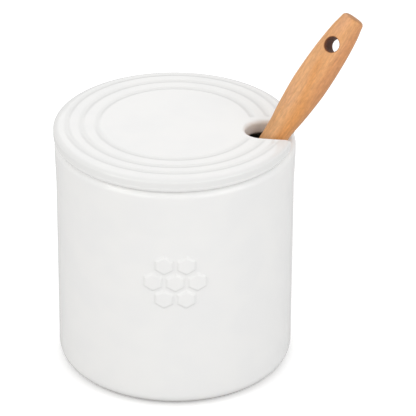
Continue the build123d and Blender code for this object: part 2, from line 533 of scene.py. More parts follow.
@dataclass(frozen=True)
class Beech:
    """Oiled beech, with its grain along the dipper. Places are measured on the dipper, from its hole."""

    placement: Placement
    light_colour: Colour = (0.765, 0.400, 0.178)
    mid_colour: Colour = (0.725, 0.355, 0.138)
    streak_colour: Colour = (0.690, 0.295, 0.082)
    # painted shade towards the handle's lower end, near the lid
    lower_shade_colour: Colour = (0.600, 0.300, 0.108)
    fleck_colour: Colour = (0.420, 0.165, 0.070)
    pink_colour: Colour = (0.740, 0.390, 0.215)
    # painted shade on the handle's far side
    side_shade_colour: Colour = (0.600, 0.262, 0.105)
    # end grain, and painted shade inside the hanging hole
    end_grain_and_shade_colour: Colour = (0.150, 0.045, 0.022)
    pink_share: float = 0.55
    side_shade_share: float = 0.8
    lower_shade_share: float = 0.45
    streak_share: float = 0.85
    fleck_share: float = 0.28
    side_shade_place: Pair = (-2.5 * MM, -6.0 * MM)  # from where to where painted shade darkens the far side
    lower_shade_place: Pair = (-18.0 * MM, -42.0 * MM)  # and from where to where painted shade darkens the wood towards the lid
    streak_place: float = -1.6 * MM
    streak_half_width: float = 3.6 * MM
    streak_wander: float = 5.0 * MM
    streak_length: Pair = (-12.0 * MM, -2.0 * MM)  # from where to where it fades, up towards the hole
    streak_faded: float = 0.25  # what is left of it there
    fibre_shades: Pair = (0.91, 1.08)  # the darkest and the lightest
    mottle_shades: Pair = (0.90, 1.09)
    fibre_depth: float = 0.05 * MM
    fleck_depth: float = 0.06 * MM
    roughness: Pair = (0.42, 0.58)
    gloss: Pair = (0.5, 0.1)  # along the grain and across it
    bands: WoodNoise = WoodNoise(0.05, 260.0, detail=2.0, roughness=0.45)
    fibres: WoodNoise = WoodNoise(0.03, 1500.0, detail=3.0, roughness=0.6)
    mottle: WoodNoise = WoodNoise(0.35, 1150.0, detail=2.0, roughness=0.6)
    blush: WoodNoise = WoodNoise(0.22, 190.0)
    flecks: WoodNoise = WoodNoise(0.14, 2300.0)
    wander: WoodNoise = WoodNoise(0.30, 90.0)

    def material(self) -> Material:
        """The wood: bands, a blush, painted shade on its far side and towards its lower end, and a streak, under
        fibres and flecks.

        Returns:
            The material.
        """
        coat = Coat("oiled_beech")
        turned = Matrix(self.placement.axes.T.tolist()).to_euler()
        links = {"Vector": coat.place(), "Location": self.placement.origin.tolist(), "Rotation": turned}
        local = coat.add("ShaderNodeMapping", links, vector_type="TEXTURE").outputs[0]

        def pattern(noise: WoodNoise) -> NodeSocket:
            """The noise, on a place whose length is drawn in."""
            links = {0: local, 1: (1.0, 1.0, noise.drawn)}
            drawn = coat.add("ShaderNodeVectorMath", links, operation="MULTIPLY").outputs[0]
            return coat.noise(drawn, noise.scale, noise.detail, noise.roughness)

        fibres, flecks, end_grain = pattern(self.fibres), pattern(self.flecks), coat.mask(Mask.END_GRAIN_AND_SHADE)
        across, _, along = coat.add("ShaderNodeSeparateXYZ", {0: local}).outputs
        wander = coat.math("MULTIPLY_ADD", pattern(self.wander), 2 * self.streak_wander, -self.streak_wander)
        aside = coat.math("SUBTRACT", coat.math("ADD", across, wander), self.streak_place)
        heart = coat.ease(coat.math("ABSOLUTE", aside), 0.0, self.streak_half_width, 1.0, 0.0)
        streak = coat.times(heart, coat.ease(along, *self.streak_length, 1.0, self.streak_faded))
        # painted shade on the handle's far side
        edge = coat.ease(across, *self.side_shade_place[::-1], 1.0, 0.0)
        colour = self.light_colour
        for share, tint in (
            (coat.ease(pattern(self.bands), 0.35, 0.65), self.mid_colour),
            (coat.ease(pattern(self.blush), 0.5, 0.75, 0.0, self.pink_share), self.pink_colour),
            (coat.times(edge, self.side_shade_share), self.side_shade_colour),
            # painted shade, darker towards the lid
            (coat.ease(along, *self.lower_shade_place[::-1], self.lower_shade_share, 0.0), self.lower_shade_colour),
            (coat.times(streak, self.streak_share), self.streak_colour),
        ):
            colour = coat.mix(share, colour, tint)
        dapple = coat.times(coat.ease(fibres, 0.25, 0.75, *self.fibre_shades),
                            coat.ease(pattern(self.mottle), 0.30, 0.70, *self.mottle_shades))
        dapples = coat.add("ShaderNodeCombineXYZ", dict.fromkeys(range(3), dapple)).outputs[0]
        colour = coat.mix(1.0, colour, dapples, blend="MULTIPLY")
        colour = coat.mix(coat.ease(flecks, 0.60, 0.74, 0.0, self.fleck_share), colour, self.fleck_colour)
        # end grain at the tip, and painted shade in the hanging hole
        colour = coat.mix(end_grain, colour, self.end_grain_and_shade_colour)
        height = coat.math("MULTIPLY_ADD", flecks, -self.fleck_depth, coat.times(fibres, self.fibre_depth))
        return coat.finish(colour, coat.ease(fibres, 0.3, 0.7, *self.roughness), height, bump=0.8,
                           Specular_IOR_Level=coat.ease(end_grain, 0.0, 1.0, *self.gloss))


@dataclass(frozen=True)
class Moulded:
    """A moulded finish, such as silicone or plastic: soft waves, fine grain, cloudy tint."""

    name: str
    colour: Colour
    cloud_colour: Colour
    roughness: Pair
    feel: SurfaceFeel

    def material(self) -> Material:
        """The finish, with a tint and a sheen that follow its clouds.

        Returns:
            The material.
        """
        coat = Coat(self.name)
        height, cloud = self.feel.over(coat)
        colour = coat.mix(cloud, self.colour, self.cloud_colour)
        return coat.finish(colour, coat.ease(cloud, 0.0, 1.0, *self.roughness), height)


SILICONE = Moulded(
    "cream_silicone", (0.780, 0.755, 0.690), (0.745, 0.720, 0.655), roughness=(0.50, 0.60),
    feel=SurfaceFeel(wave_scale=120.0, grain_scale=3000.0, wave=0.06 * MM, grain=0.01 * MM),
)
CORE_PLASTIC = Moulded(
    "peg_plastic", (0.610, 0.600, 0.570), (0.560, 0.550, 0.520), roughness=(0.40, 0.50),
    feel=SurfaceFeel(wave_scale=200.0, grain_scale=4000.0, wave=0.04 * MM, grain=0.01 * MM),
)


# ---- pot
@dataclass
class Pot:
    """The pot body: a lathe-turned shell with a raised honeycomb on its front."""

    wall: float = 4.4 * MM
    floor: float = 6.5 * MM
    base_round: float = 5.5 * MM
    inner_corner_round: float = 8.0 * MM
    rim_flare: float = 0.45 * MM  # how much wider the wall grows below the rim
    flare_start: float = 20.0 * MM  # below the rim
    flare_start_round: float = 40.0 * MM
    flare_end: float = 5.0 * MM
    flare_end_round: float = 20.0 * MM
    rim_outer_round: float = 2.9 * MM
    rim_inner_round: float = 1.4 * MM
    foot_ring_width: float = 4.0 * MM
    foot_recess: float = 1.2 * MM
    recess_round: float = 0.8 * MM
    bare_shade_height: float = 2.2 * MM  # how far up the foot is bare clay, painted dark as contact shade
    bare_inset: float = 0.2 * MM  # and how far in past its ring
    glaze_fade: float = 0.8 * MM
    edge_spacing: float = 1.0 * MM
    side_columns: int = 75
    cell_flats: float = 8.0 * MM
    cell_gap: float = 1.1 * MM
    cell_relief: float = 0.7 * MM
    cell_shoulder: float = 1.0 * MM  # width of the soft slope round a cell
    cell_spacing: float = 0.34 * MM
    cell_pool_and_shade: float = 0.5  # how much glaze pools and how much shade is painted at a cell's foot
    pool_and_shade_spread: float = 0.985  # less than 1 puts that farther out
    honeycomb_height: float = 60.0 * MM

    def __post_init__(self) -> None:
        """Takes the outside size from the plain solid, and works out what follows from it."""
        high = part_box("pot_body")[1]
        self.radius, self.height = float(high.x), float(high.z)
        self.foot_inner = self.radius - self.base_round - self.foot_ring_width
        self.honeycomb_half = 1.5 * (self.cell_flats + self.cell_gap) + 2 * self.cell_gap

    def profile(self) -> Array:
        """The outline from the middle of the base, up the outside and down to the inner floor.

        Returns:
            Radius and height, shape (rows, 2).
        """
        inner, flared = self.radius - self.wall, self.radius + self.rim_flare
        return rounded_path([
            Corner(0.0, self.foot_recess),
            Corner(self.foot_inner, self.foot_recess, self.recess_round),
            Corner(self.foot_inner, 0.0, step=self.edge_spacing),
            Corner(self.radius, 0.0, self.base_round, self.edge_spacing),
            Corner(self.radius, self.honeycomb_height - self.honeycomb_half),
            Corner(self.radius, self.honeycomb_height + self.honeycomb_half, step=self.cell_spacing),
            Corner(self.radius, self.height - self.flare_start, self.flare_start_round),
            Corner(flared, self.height - self.flare_end, self.flare_end_round),
            Corner(flared, self.height, self.rim_outer_round, self.edge_spacing),
            Corner(inner, self.height, self.rim_inner_round, self.edge_spacing),
            Corner(inner, self.floor, self.inner_corner_round),
            Corner(0.0, self.floor),
        ])

    def columns(self) -> Array:
        """Turns round the pot, from back to front to back, close together across the honeycomb.

        Returns:
            The angles.
        """
        edge = math.asin(self.honeycomb_half / self.radius)
        fine = np.linspace(-edge, edge, math.ceil(2 * self.honeycomb_half / self.cell_spacing) + 1)
        plain = np.linspace(edge, math.pi, self.side_columns)[1:]
        return np.concatenate([-plain[::-1], fine, plain])

    def cell_share(self, aside: Array, above: Array) -> Array:
        """How much of its full height the honeycomb has at a place on the pot's front.

        A cell's edge distance is its half width across flats less the largest reach towards the
        three flat directions. The height eases from 0 to 1 over the shoulder inside that edge.

        Args:
            aside: distance to the right of the middle cell.
            above: distance above the middle cell.

        Returns:
            The share, 1 on a cell's face and 0 between cells.
        """
        sixths = np.radians(np.arange(0, 360, 60))
        pitch = self.cell_flats + self.cell_gap
        share = np.zeros(np.broadcast(aside, above).shape)
        for out, turn in [(0.0, 0.0), *((pitch, turn) for turn in sixths)]:
            right, up = aside - out * math.cos(turn), above - out * math.sin(turn)
            reaches = [np.abs(right * math.cos(flat) + up * math.sin(flat)) for flat in sixths[:3]]
            reach = np.max(reaches, axis=0)
            share = np.maximum(share, eased(self.cell_flats / 2 - reach, 0.0, self.cell_shoulder))
        return share

    def build(self, glaze: Material) -> Object:
        """The pot's piece, glazed.

        Args:
            glaze: its material.

        Returns:
            The piece.
        """
        profile, turns = self.profile(), self.columns()
        radius, height = profile[:, :1], profile[:, 1:]
        on_wall = (radius > self.radius - TOLERANCE) & (np.cos(turns) > 0)
        aside, above = self.radius * np.sin(turns), height - self.honeycomb_height
        share, near = (np.where(on_wall, self.cell_share(aside * spread, above * spread), 0.0)
                       for spread in (1.0, self.pool_and_shade_spread))
        # the bare band up the foot's rounding is painted dark as contact shade
        glazed = eased(height, self.bare_shade_height, self.bare_shade_height + self.glaze_fade)
        bare = np.where(radius > self.foot_inner - self.bare_inset, 1.0 - glazed, 0.0)
        # pooled glaze with painted shade round each cell's foot
        pool = self.cell_pool_and_shade * 4 * near * (1 - near)
        masks = {Mask.POOL_AND_SHADE: pool, Mask.BARE_AND_SHADE: np.broadcast_to(bare, pool.shape)}
        patch = Patch(lathe(profile, turns, share * self.cell_relief), masks)
        return make_piece("glazed_pot", [patch], "pot", "pot_body", glaze)


# ---- lid
class LidPlan(NamedTuple):
    """Where the points of the lid's grid lie, seen from above, in arrays of shape (rows, columns)."""

    rows: Array  # distances from the lid's middle
    aside: Array  # distances to the left of the notch's direction
    place: Array  # x and y from the middle, on one more axis
    clear: Array  # distances from the notch's wall


@dataclass
class Lid:
    """The lid: a round-edged disc with three grooves, a locating ring and a notch for the dipper."""

    edge_round: float = 4.2 * MM  # how far in the upper edge's rounding reaches
    edge_fall: float = 1.7 * MM  # and how far down
    under_round: float = 2.4 * MM
    groove_insets: tuple[float, ...] = (5.3 * MM, 11.15 * MM, 17.7 * MM)
    groove_shifts: tuple[Pair, ...] = (
        (0.25 * MM, 1.4 * MM), (0.45 * MM, 1.1 * MM), (0.5 * MM, 0.9 * MM))  # off the lid's middle
    groove_width: float = 3.8 * MM
    groove_depth: float = 0.30 * MM
    groove_pool_and_shade: float = 0.9  # how much glaze pools and how much shade is painted in a groove
    groove_fade: float = 3.0 * MM
    back_land: float = 3.4 * MM  # plain lid between the notch and a groove's end, on the far side
    front_land: float = 0.4 * MM
    band_crown: float = 0.05 * MM
    edge_shade: float = 0.9  # how much shade is painted on the lid's outer face
    edge_shade_inset: Pair = (1.8 * MM, 0.4 * MM)  # where that starts and where it is full
    notch_shade_share: float = 0.6  # how much shade and warm reflection of the handle is painted on the notch's far wall
    notch_shade_reach: Pair = (2.0 * MM, 11.0 * MM)  # where that starts and is full, from the notch's end
    notch_shade_side: float = 4.0 * MM
    ring_depth: float = 4.0 * MM
    ring_width: float = 3.0 * MM
    ring_round: float = 0.8 * MM
    ring_outer: float = 44.2 * MM
    ring_slope: float = 0.05 * MM  # half the width of its upright sides in plan
    ring_land: float = 3.0 * MM
    ring_end_slope: float = 0.1 * MM
    ring_bare: float = 0.3 * MM  # how far up from its face the ring is left unglazed
    notch_angle: float = math.radians(-7.8)
    notch_half: float = 7.45 * MM
    notch_end: float = 29.67 * MM
    notch_edge_round: float = 1.5 * MM
    notch_under_round: float = 1.6 * MM
    mouth_round: float = 0.4 * MM
    middle_end: float = 3.5 * MM  # how far before the notch the sparse rows of the middle end
    row_start: float = 3.0 * MM  # and the closely spaced ones start
    row_spacing: float = 0.3 * MM
    row_clearance: float = 0.1 * MM  # the least distance of such a row from one that has to be there
    middle_rows: int = 12
    round_end_rows: int = 22
    notch_edge_rows: int = 10
    edge_rows: int = 26
    ring_corner_rows: int = 5
    wall_rows: int = 9
    notch_edge_columns: int = 12
    ring_end_columns: tuple[float, ...] = (-1.0 * MM, -0.55 * MM, -0.1 * MM, 0.1 * MM, 0.6 * MM)
    near_reach: Pair = (4.2 * MM, 12.0 * MM)
    near_columns: int = 11
    far_columns: int = 110

    def __post_init__(self) -> None:
        """Takes the outside size and the place from the plain solid, which rests a little off the middle."""
        low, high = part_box("lid")
        self.radius = float(high.y - low.y) / 2
        self.middle = np.array([float(low.x) + self.radius, float(high.y + low.y) / 2])
        self.top = float(high.z)
        self.seat = float(low.z) + self.ring_depth
        self.notch_centre = self.notch_end + self.notch_half
        self.ring_inner = self.ring_outer - self.ring_width

    def rows(self) -> Array:
        """Distances from the lid's middle, close together at grooves, edges and the notch's end.

        Those on the notch's round end are at even steps of its angle s: sqrt(c^2 + a^2 - 2 c a cos s),
        with c the distance of that end's centre and a its radius.

        Returns:
            Those that have to be there, and evenly spaced ones that keep clear of them.
        """
        centre, half, slope = self.notch_centre, self.notch_half, self.ring_slope
        swing = np.linspace(0.0, QUARTER, self.round_end_rows)
        round_end = np.sqrt(centre**2 + half**2 - 2 * centre * half * np.cos(swing))
        ring_corner = quarter_round(self.ring_round, self.ring_corner_rows)
        flat = self.radius - self.edge_round
        fixed = np.unique(np.concatenate([
            round_end[round_end < flat],
            self.notch_end - quarter_round(self.notch_edge_round, self.notch_edge_rows),
            self.radius - quarter_round(self.edge_round, self.edge_rows),
            [self.ring_inner - slope, self.ring_outer + slope],
            self.ring_inner + slope + ring_corner,
            self.ring_outer - slope - ring_corner,
            np.linspace(0.0, self.notch_end - self.middle_end, self.middle_rows),
        ]).round(9))
        regular = np.arange(self.notch_end - self.row_start, flat, self.row_spacing)
        clear = np.abs(regular[:, None] - fixed).min(axis=1) > self.row_clearance
        return np.sort(np.concatenate([fixed, regular[clear]]))

    def notch_edge_angle(self, rows: Array) -> Array:
        """Half the angle that the notch takes out of each row.

        On the round end the row's circle crosses the notch's circle, at the angle whose cosine is
        (r^2 + c^2 - a^2) / (2 r c). Beyond it the angle's sine is a / r, with a flared at the mouth.

        Args:
            rows: distances from the middle.

        Returns:
            The half angle, 0 inside the notch's end.
        """
        centre, half = self.notch_centre, self.notch_half
        held = np.maximum(rows, self.notch_end)
        cosine = (held**2 + centre**2 - half**2) / (2 * held * centre)
        round_end = np.arccos(np.clip(cosine, -1.0, 1.0))
        straight = np.arcsin((half + round_drop(self.radius - held, self.mouth_round)) / held)
        return np.where(held < math.hypot(centre, half), round_end, straight)

    def plan(self) -> LidPlan:
        """The lid's grid, whose columns fan out from the notch's wall, from one side of it to the other.

        The distance from that wall is the distance from its circle on the round end, and from its
        sides beyond.

        Returns:
            The plan.
        """
        rows = self.rows()[:, None]
        near = np.concatenate([
            quarter_round(self.notch_edge_round, self.notch_edge_columns),
            self.ring_land + np.array(self.ring_end_columns),
            np.linspace(*self.near_reach, self.near_columns),
        ])
        close = self.notch_edge_angle(rows) + near / np.maximum(rows, self.notch_end)
        share = np.linspace(0.0, 1.0, self.far_columns + 1)[1:]
        half = np.concatenate([close, close[:, -1:] + (math.pi - close[:, -1:]) * share], axis=1)
        angles = np.concatenate([half, 2 * math.pi - half[:, -2::-1]], axis=1)
        rho = np.broadcast_to(rows, angles.shape)
        along, aside = rho * np.cos(angles), rho * np.sin(angles)
        turned = angles + self.notch_angle
        round_end = np.hypot(along - self.notch_centre, aside) - self.notch_half
        straight = np.abs(aside) - self.notch_half - round_drop(self.radius - rho, self.mouth_round)
        clear = np.maximum(np.where(along < self.notch_centre, round_end, straight), 0.0)
        return LidPlan(rho, aside, np.stack([rho * np.cos(turned), rho * np.sin(turned)], axis=-1), clear)

    def groove_share(self, plan: LidPlan) -> Array:
        """How deep the grooves are, from 0 to 1.

        Across a groove the share is (1 + cos(2 pi d / width)) / 2 for d within half its width. It
        fades out before the notch, over a plain land that is wider behind the notch than before it.

        Args:
            plan: the grid's places.

        Returns:
            The share.
        """
        share = np.zeros_like(plan.clear)
        for inset, shift in zip(self.groove_insets, self.groove_shifts):
            rows = np.linalg.norm(plan.place - np.array(shift), axis=-1)
            off = np.clip(np.abs(rows - (self.radius - inset)), 0.0, self.groove_width / 2)
            share += 0.5 * (1 + np.cos(2 * math.pi * off / self.groove_width))
        land = np.where(plan.aside > 0, self.back_land, self.front_land)
        return share * eased(plan.clear, land, land + self.groove_fade)

    def upper_side(self, plan: LidPlan, grooved: Array) -> Array:
        """The lid's top: the flat, less rounded edges and grooves, plus a crown between two grooves.

        Across the share s of a band between grooves, the crown is (1 - cos(2 pi s)) / 2 of its height.

        Args:
            plan: the grid's places.
            grooved: how deep the grooves are, from 0 to 1.

        Returns:
            Its heights.
        """
        edge = self.edge_fall / self.edge_round * round_drop(self.radius - plan.rows, self.edge_round)
        fall = np.minimum(blend_max(edge, round_drop(plan.clear, self.notch_edge_round)), self.edge_fall)
        crown = np.zeros_like(fall)
        for outer, inner in zip(self.groove_insets, self.groove_insets[1:]):
            band = np.clip((plan.rows - (self.radius - inner)) / (inner - outer), 0.0, 1.0)
            crown += 0.5 * (1 - np.cos(2 * math.pi * band))
        crown *= eased(plan.clear, self.front_land, self.front_land + self.groove_fade)
        return self.top - fall - self.groove_depth * grooved + self.band_crown * crown

    def under_side(self, plan: LidPlan) -> Array:
        """The lid's underside: the seat, plus rounded edges, less the ring, which ends near the notch.

        Args:
            plan: the grid's places.

        Returns:
            Its heights.
        """
        slope, end_slope = self.ring_slope, self.ring_end_slope
        inside = np.minimum(plan.rows - self.ring_inner, self.ring_outer - plan.rows)
        wall = np.clip((inside + slope) / (2 * slope), 0.0, 1.0)
        depth = self.ring_depth - round_drop(np.maximum(inside - slope, 0.0), self.ring_round)
        ends = np.clip((plan.clear - self.ring_land + end_slope) / (2 * end_slope), 0.0, 1.0)
        ring = np.where(wall >= 1.0, depth, (self.ring_depth - self.ring_round) * wall) * ends
        edge = round_drop(self.radius - plan.rows, self.under_round)
        return self.seat + blend_max(edge, round_drop(plan.clear, self.notch_under_round)) - ring

    def build(self, glaze: Material) -> Object:
        """The lid's piece, glazed: its top, its underside, its outer edge and the notch's wall.

        Args:
            glaze: its material.

        Returns:
            The piece.
        """
        plan = self.plan()
        grooved = self.groove_share(plan)
        top = np.dstack([self.middle + plan.place, self.upper_side(plan, grooved)])
        under = np.dstack([self.middle + plan.place, self.under_side(plan)])
        # painted shade on the lid's outer face, darker than its top
        edge_shade = self.edge_shade * eased(self.radius - plan.rows, *self.edge_shade_inset)
        # painted shade, with a warm painted reflection of the handle, on the notch's far wall and its edge
        thin = self.notch_shade_share * eased(plan.rows - self.notch_end, *self.notch_shade_reach)
        thin *= eased(plan.aside, 0.0, self.notch_shade_side) * eased(plan.clear, self.notch_edge_round, 0.0)
        ring_face = (under[..., 2] < self.seat - self.ring_depth + self.ring_bare).astype(float)
        cut = plan.rows[:, 0] >= self.notch_end - TOLERANCE

        def beside_notch(grid: Array) -> Array:
            """The grid's two ends, joined round the notch."""
            return np.concatenate([grid[cut, -1][::-1], grid[cut, 0][1:]])

        fall = np.linspace(0.0, 1.0, self.wall_rows)[:, None, None]
        wall = beside_notch(top) * (1 - fall) + beside_notch(under) * fall
        edge = top[-1] * (1 - fall) + under[-1] * fall
        patches = [
            Patch(top, {Mask.POOL_AND_SHADE: np.maximum(self.groove_pool_and_shade * grooved, edge_shade), Mask.NOTCH_SHADE: thin}),
            Patch(under, {Mask.BARE_AND_SHADE: ring_face}),
            Patch(wall, {Mask.NOTCH_SHADE: np.broadcast_to(beside_notch(thin), wall.shape[:2])}),
            Patch(edge, {Mask.POOL_AND_SHADE: np.full(edge.shape[:2], self.edge_shade)}),
        ]
        return make_piece("glazed_lid", patches, "lid", "lid", glaze)


# ---- dipper
@dataclass
class Dipper:
    """The honey dipper: a beech handle with a hanging hole, and a ribbed silicone head.

    Heights are measured up the handle from the hanging hole.
    """

    sections: tuple[tuple[float, float, float], ...] = (
        (-61.2, 4.70, 4.70), (-49.2, 5.10, 4.80), (-41.2, 5.45, 4.85), (-33.2, 6.52, 4.90),
        (-25.2, 7.28, 4.94), (-19.2, 7.61, 4.95), (-13.2, 7.56, 4.93), (-5.2, 7.25, 4.76),
        (0.8, 6.78, 4.55), (6.8, 6.03, 4.42), (13.8, 4.76, 4.25),
    )  # height, half width and half depth, in mm
    grip_start: int = 3  # the first section with the grip's full squareness
    grip_squareness: float = 2.3  # 2 is an ellipse, and more is boxier
    end_round: float = 1.65 * MM
    end_crown: float = 0.2 * MM
    end_darkness: float = 0.35  # how much end grain shows at the tip
    end_fade: float = 0.9 * MM
    hole_round: float = 0.6 * MM
    # how dark the hole's wall is painted: its end grain, and painted shade inside the hole
    hole_shade: float = 0.9
    hole_steps: int = 7
    hole_half_block: float = 5.4 * MM
    columns: int = 96
    block_columns: int = 12
    block_rows: int = 13
    foot_rows: int = 4
    shaft_rows: int = 108
    tip_rows: int = 8
    cap_rows: int = 9
    crown_rows: int = 7
    shaft_end: float = -109.70 * MM
    shaft_round: float = 0.4 * MM
    bore_radius: float = 3.05 * MM
    handle_bore: float = 18.4 * MM
    head_radius: float = 12.0 * MM
    head_half_length: float = 24.0 * MM
    head_bore: float = 38.4 * MM
    head_rows: int = 340
    head_end_rows: int = 16
    head_end_share: float = 0.999  # of the half length, where its rows start above the tip
    head_turns: int = 72
    neck_radius: float = 5.2 * MM
    neck_length: float = 6.0 * MM
    neck_round: float = 0.5 * MM
    neck_step: float = 0.1 * MM  # from the spindle's last row to the neck's first
    rib_pitch: float = 6.4 * MM
    rib_grooves: int = 5
    rib_groove_width: float = 2.8 * MM
    rib_groove_floor: float = 7.2 * MM
    rib_edge: float = 0.5 * MM

    def __post_init__(self) -> None:
        """Takes the hole and the two directions from the record."""
        self.heights, *self.halves = np.array(self.sections).T * MM
        self.grip_end = self.heights[-1]
        hole = next(mount for mount in frame["record"]["mounts"] if mount["name"] == "hanging_hole")
        slide = next(joint for joint in frame["joints"] if joint["name"] == "dipper_lift")
        along = np.array(slide["axis"], float)
        along /= np.linalg.norm(along)
        through = np.array(hole["axis"], float)
        through -= along * (through @ along)
        through /= np.linalg.norm(through)
        self.hole_radius = float(hole["dims"]["r_mm"]) * MM
        axes = np.stack([np.cross(through, along), through, along])
        self.placement = Placement(np.array(hole["pos_m"], float), axes)

    def half_sizes(self, height: Array) -> Array:
        """Half the handle's broad size and half its narrow size, at heights above the hole."""
        return smooth_through(self.heights, np.array(self.halves), height)

    def squareness(self, height: Array) -> Array:
        """The section's exponent, from 2 on the round shaft to the grip's."""
        share = eased(height, self.heights[0], self.heights[self.grip_start])
        return 2.0 + (self.grip_squareness - 2.0) * share

    def face_depth(self, across: Array, height: Array) -> Array:
        """How far the handle's face lies from its middle plane.

        On a section with half sizes w and d and exponent n it is d * (1 - |x / w|^n)^(1 / n).

        Args:
            across: distance x from the middle, towards either side.
            height: height above the hole.

        Returns:
            The depth.
        """
        n = self.squareness(height)
        half_width, half_depth = self.half_sizes(height)
        reach = np.clip(np.abs(across) / half_width, 0.0, 1.0)
        return half_depth * (1 - reach**n) ** (1 / n)

    def section_rows(self) -> tuple[Array, slice]:
        """The handle's rows, from the bottom of its bore round the shaft's end and up to the grip's end.

        Returns:
            Height, half width and half depth of the rows, shape (3, rows), and which rows hold the hole.
        """
        def sized(height: Array, inset: Array | float = 0.0) -> Array:
            """Rows of the handle's own size, less an inset all round."""
            return np.stack([height, *(self.half_sizes(height) - inset)])

        low, bore_top, block = self.shaft_end, self.shaft_end + self.handle_bore, self.hole_half_block
        bore, shaft = self.bore_radius, self.halves[0][0]
        foot = quarter_round(self.shaft_round, self.foot_rows)
        bore_height = [bore_top, bore_top, low, low, *(low + foot[:-1])]
        bore_size = [0.0, bore, bore, (bore + shaft) / 2, *(shaft - foot[:0:-1])]
        below = np.linspace(low + self.shaft_round, -block, self.shaft_rows)
        beside = np.linspace(-block, block, self.block_rows + 1)[1:]
        above = np.linspace(block, self.grip_end - self.end_round, self.tip_rows)[1:]
        cap = quarter_round(self.end_round, self.cap_rows)
        cap_rows = sized(self.grip_end - cap[-2::-1], cap[1:])
        inward = np.linspace(1.0, 0.0, self.crown_rows)[1:]
        crown_rows = cap_rows[:, -1:] * inward
        crown_rows[0] = self.grip_end + self.end_crown * (1 - inward**2)
        bore_rows = np.array([bore_height, bore_size, bore_size])
        rows = [bore_rows, sized(np.concatenate([below, beside, above])), cap_rows, crown_rows]
        hole_start = len(bore_height) + len(below) - 1
        return np.concatenate(rows, axis=1), slice(hole_start, hole_start + self.block_rows)

    def hole_patch(self, rim: Array) -> Patch:
        """The hanging hole, from the near face through the handle to the far face.

        Seen along the hole, every column is a ray from the hole's axis. It starts on the rim of the
        opening left in the handle's face, runs in to the rounded mouth, through, and out again.

        Args:
            rim: the opening's rim in the local frame, shape (columns, 3), closed.

        Returns:
            The patch.
        """
        reach = np.hypot(rim[:, 0], rim[:, 2])
        mouth = self.hole_radius + self.hole_round
        inward = np.linspace(0.0, 1.0, self.hole_steps)[:-1, None]
        rounded = self.hole_radius + quarter_round(self.hole_round, self.hole_steps)[::-1, None]
        radii = np.concatenate([reach * (1 - inward) + mouth * inward, rounded + 0.0 * reach])
        across, height = radii * (rim[:, 0] / reach), radii * (rim[:, 2] / reach)
        depth = self.face_depth(across, height) - round_drop(radii - self.hole_radius, self.hole_round)
        depth[0] = np.abs(rim[:, 1])
        near = np.stack([across, depth, height], axis=-1)
        share = np.linspace(1.0, -1.0, self.hole_steps + 2)[1:-1, None, None]
        wall = near[-1] * np.where([False, True, False], share, 1.0)
        points = np.concatenate([near, wall, near[::-1] * np.array([1.0, -1.0, 1.0])])
        # painted shade deepening into the hole, over its end grain
        inner = eased(np.hypot(points[..., 0], points[..., 2]), mouth, self.hole_radius)
        return Patch(self.placement.to_frame(points), {Mask.END_GRAIN_AND_SHADE: self.hole_shade * inner})

    def build_handle(self, wood: Material) -> Object:
        """The handle's piece: superelliptic sections along its axis, with the hanging hole let in.

        A section's point at the angle t is (w * |cos t|^(2/n), d * |sin t|^(2/n)), with their signs.

        Args:
            wood: its material.

        Returns:
            The piece.
        """
        (height, *sizes), hole_rows = self.section_rows()
        angle = np.linspace(0.0, 2 * math.pi, self.columns + 1)
        power = 2.0 / self.squareness(height)[:, None]
        across, through = (size[:, None] * np.sign(way) * np.abs(way) ** power
                           for size, way in zip(sizes, (np.cos(angle), np.sin(angle))))
        local = np.stack([across, through, np.broadcast_to(height[:, None], across.shape)], axis=-1)
        open_quads = np.zeros((len(height) - 1, self.columns), dtype=bool)
        for middle in (self.columns // 4, 3 * self.columns // 4):
            open_quads[hole_rows, middle - self.block_columns:middle + self.block_columns] = True
        right, left = self.columns // 4 - self.block_columns, self.columns // 4 + self.block_columns
        block = local[hole_rows.start:hole_rows.stop + 1, right:left + 1]
        rim = np.concatenate([block[0, :-1], block[:-1, -1], block[-1, :0:-1], block[::-1, 0]])
        ends = self.end_darkness * eased(height[:, None], self.grip_end - self.end_fade, self.grip_end)
        masks = {Mask.END_GRAIN_AND_SHADE: np.broadcast_to(ends, across.shape)}
        patches = [Patch(self.placement.to_frame(local), masks, open_quads), self.hole_patch(rim)]
        return make_piece("beech_handle", patches, "dipper", "dipper_handle", wood)

    def build_head(self, silicone: Material) -> Object:
        """The head's piece: a ribbed spindle and its neck, turned round the dipper's axis.

        The spindle's radius at a height z from its middle is R * sqrt(1 - (z / L)^2). In a groove it
        eases down to the groove's floor, so that the ribs between have rounded edges.

        Args:
            silicone: its material.

        Returns:
            The piece.
        """
        top, long = self.shaft_end, self.head_half_length
        middle, bottom = top - self.neck_length - long, top - self.head_bore
        low = -long * np.cos(np.linspace(0.0, QUARTER, self.head_end_rows)[:-1]) * self.head_end_share
        neck_start = long * math.sqrt(1 - (self.neck_radius / self.head_radius) ** 2)
        span = np.unique(np.concatenate([low, np.linspace(low[0], neck_start, self.head_rows)]).round(8))
        spindle = self.head_radius * np.sqrt(np.clip(1 - (span / long) ** 2, 0.0, 1.0))
        grooves = (np.arange(self.rib_grooves) - (self.rib_grooves - 1) / 2) * self.rib_pitch
        away = np.abs(span[:, None] - grooves).min(axis=1)
        rib_start, floor_start = (self.rib_groove_width + way * self.rib_edge for way in (1, -1))
        cut = eased(away, rib_start / 2, floor_start / 2)
        radius = spindle * (1 - cut) + np.minimum(spindle, self.rib_groove_floor) * cut
        inside = rounded_path([
            Corner(self.neck_radius, middle + neck_start + self.neck_step),
            Corner(self.neck_radius, top, self.neck_round, step=1.0 * MM),
            Corner(self.bore_radius, top, step=1.0 * MM),
            Corner(self.bore_radius, bottom, step=8.0 * MM),
            Corner(0.0, bottom, step=2.0 * MM),
        ])
        profile = np.concatenate([[(0.0, middle - long)], np.stack([radius, middle + span], axis=1), inside])
        points = self.placement.to_frame(lathe(profile, np.linspace(-math.pi, math.pi, self.head_turns + 1)))
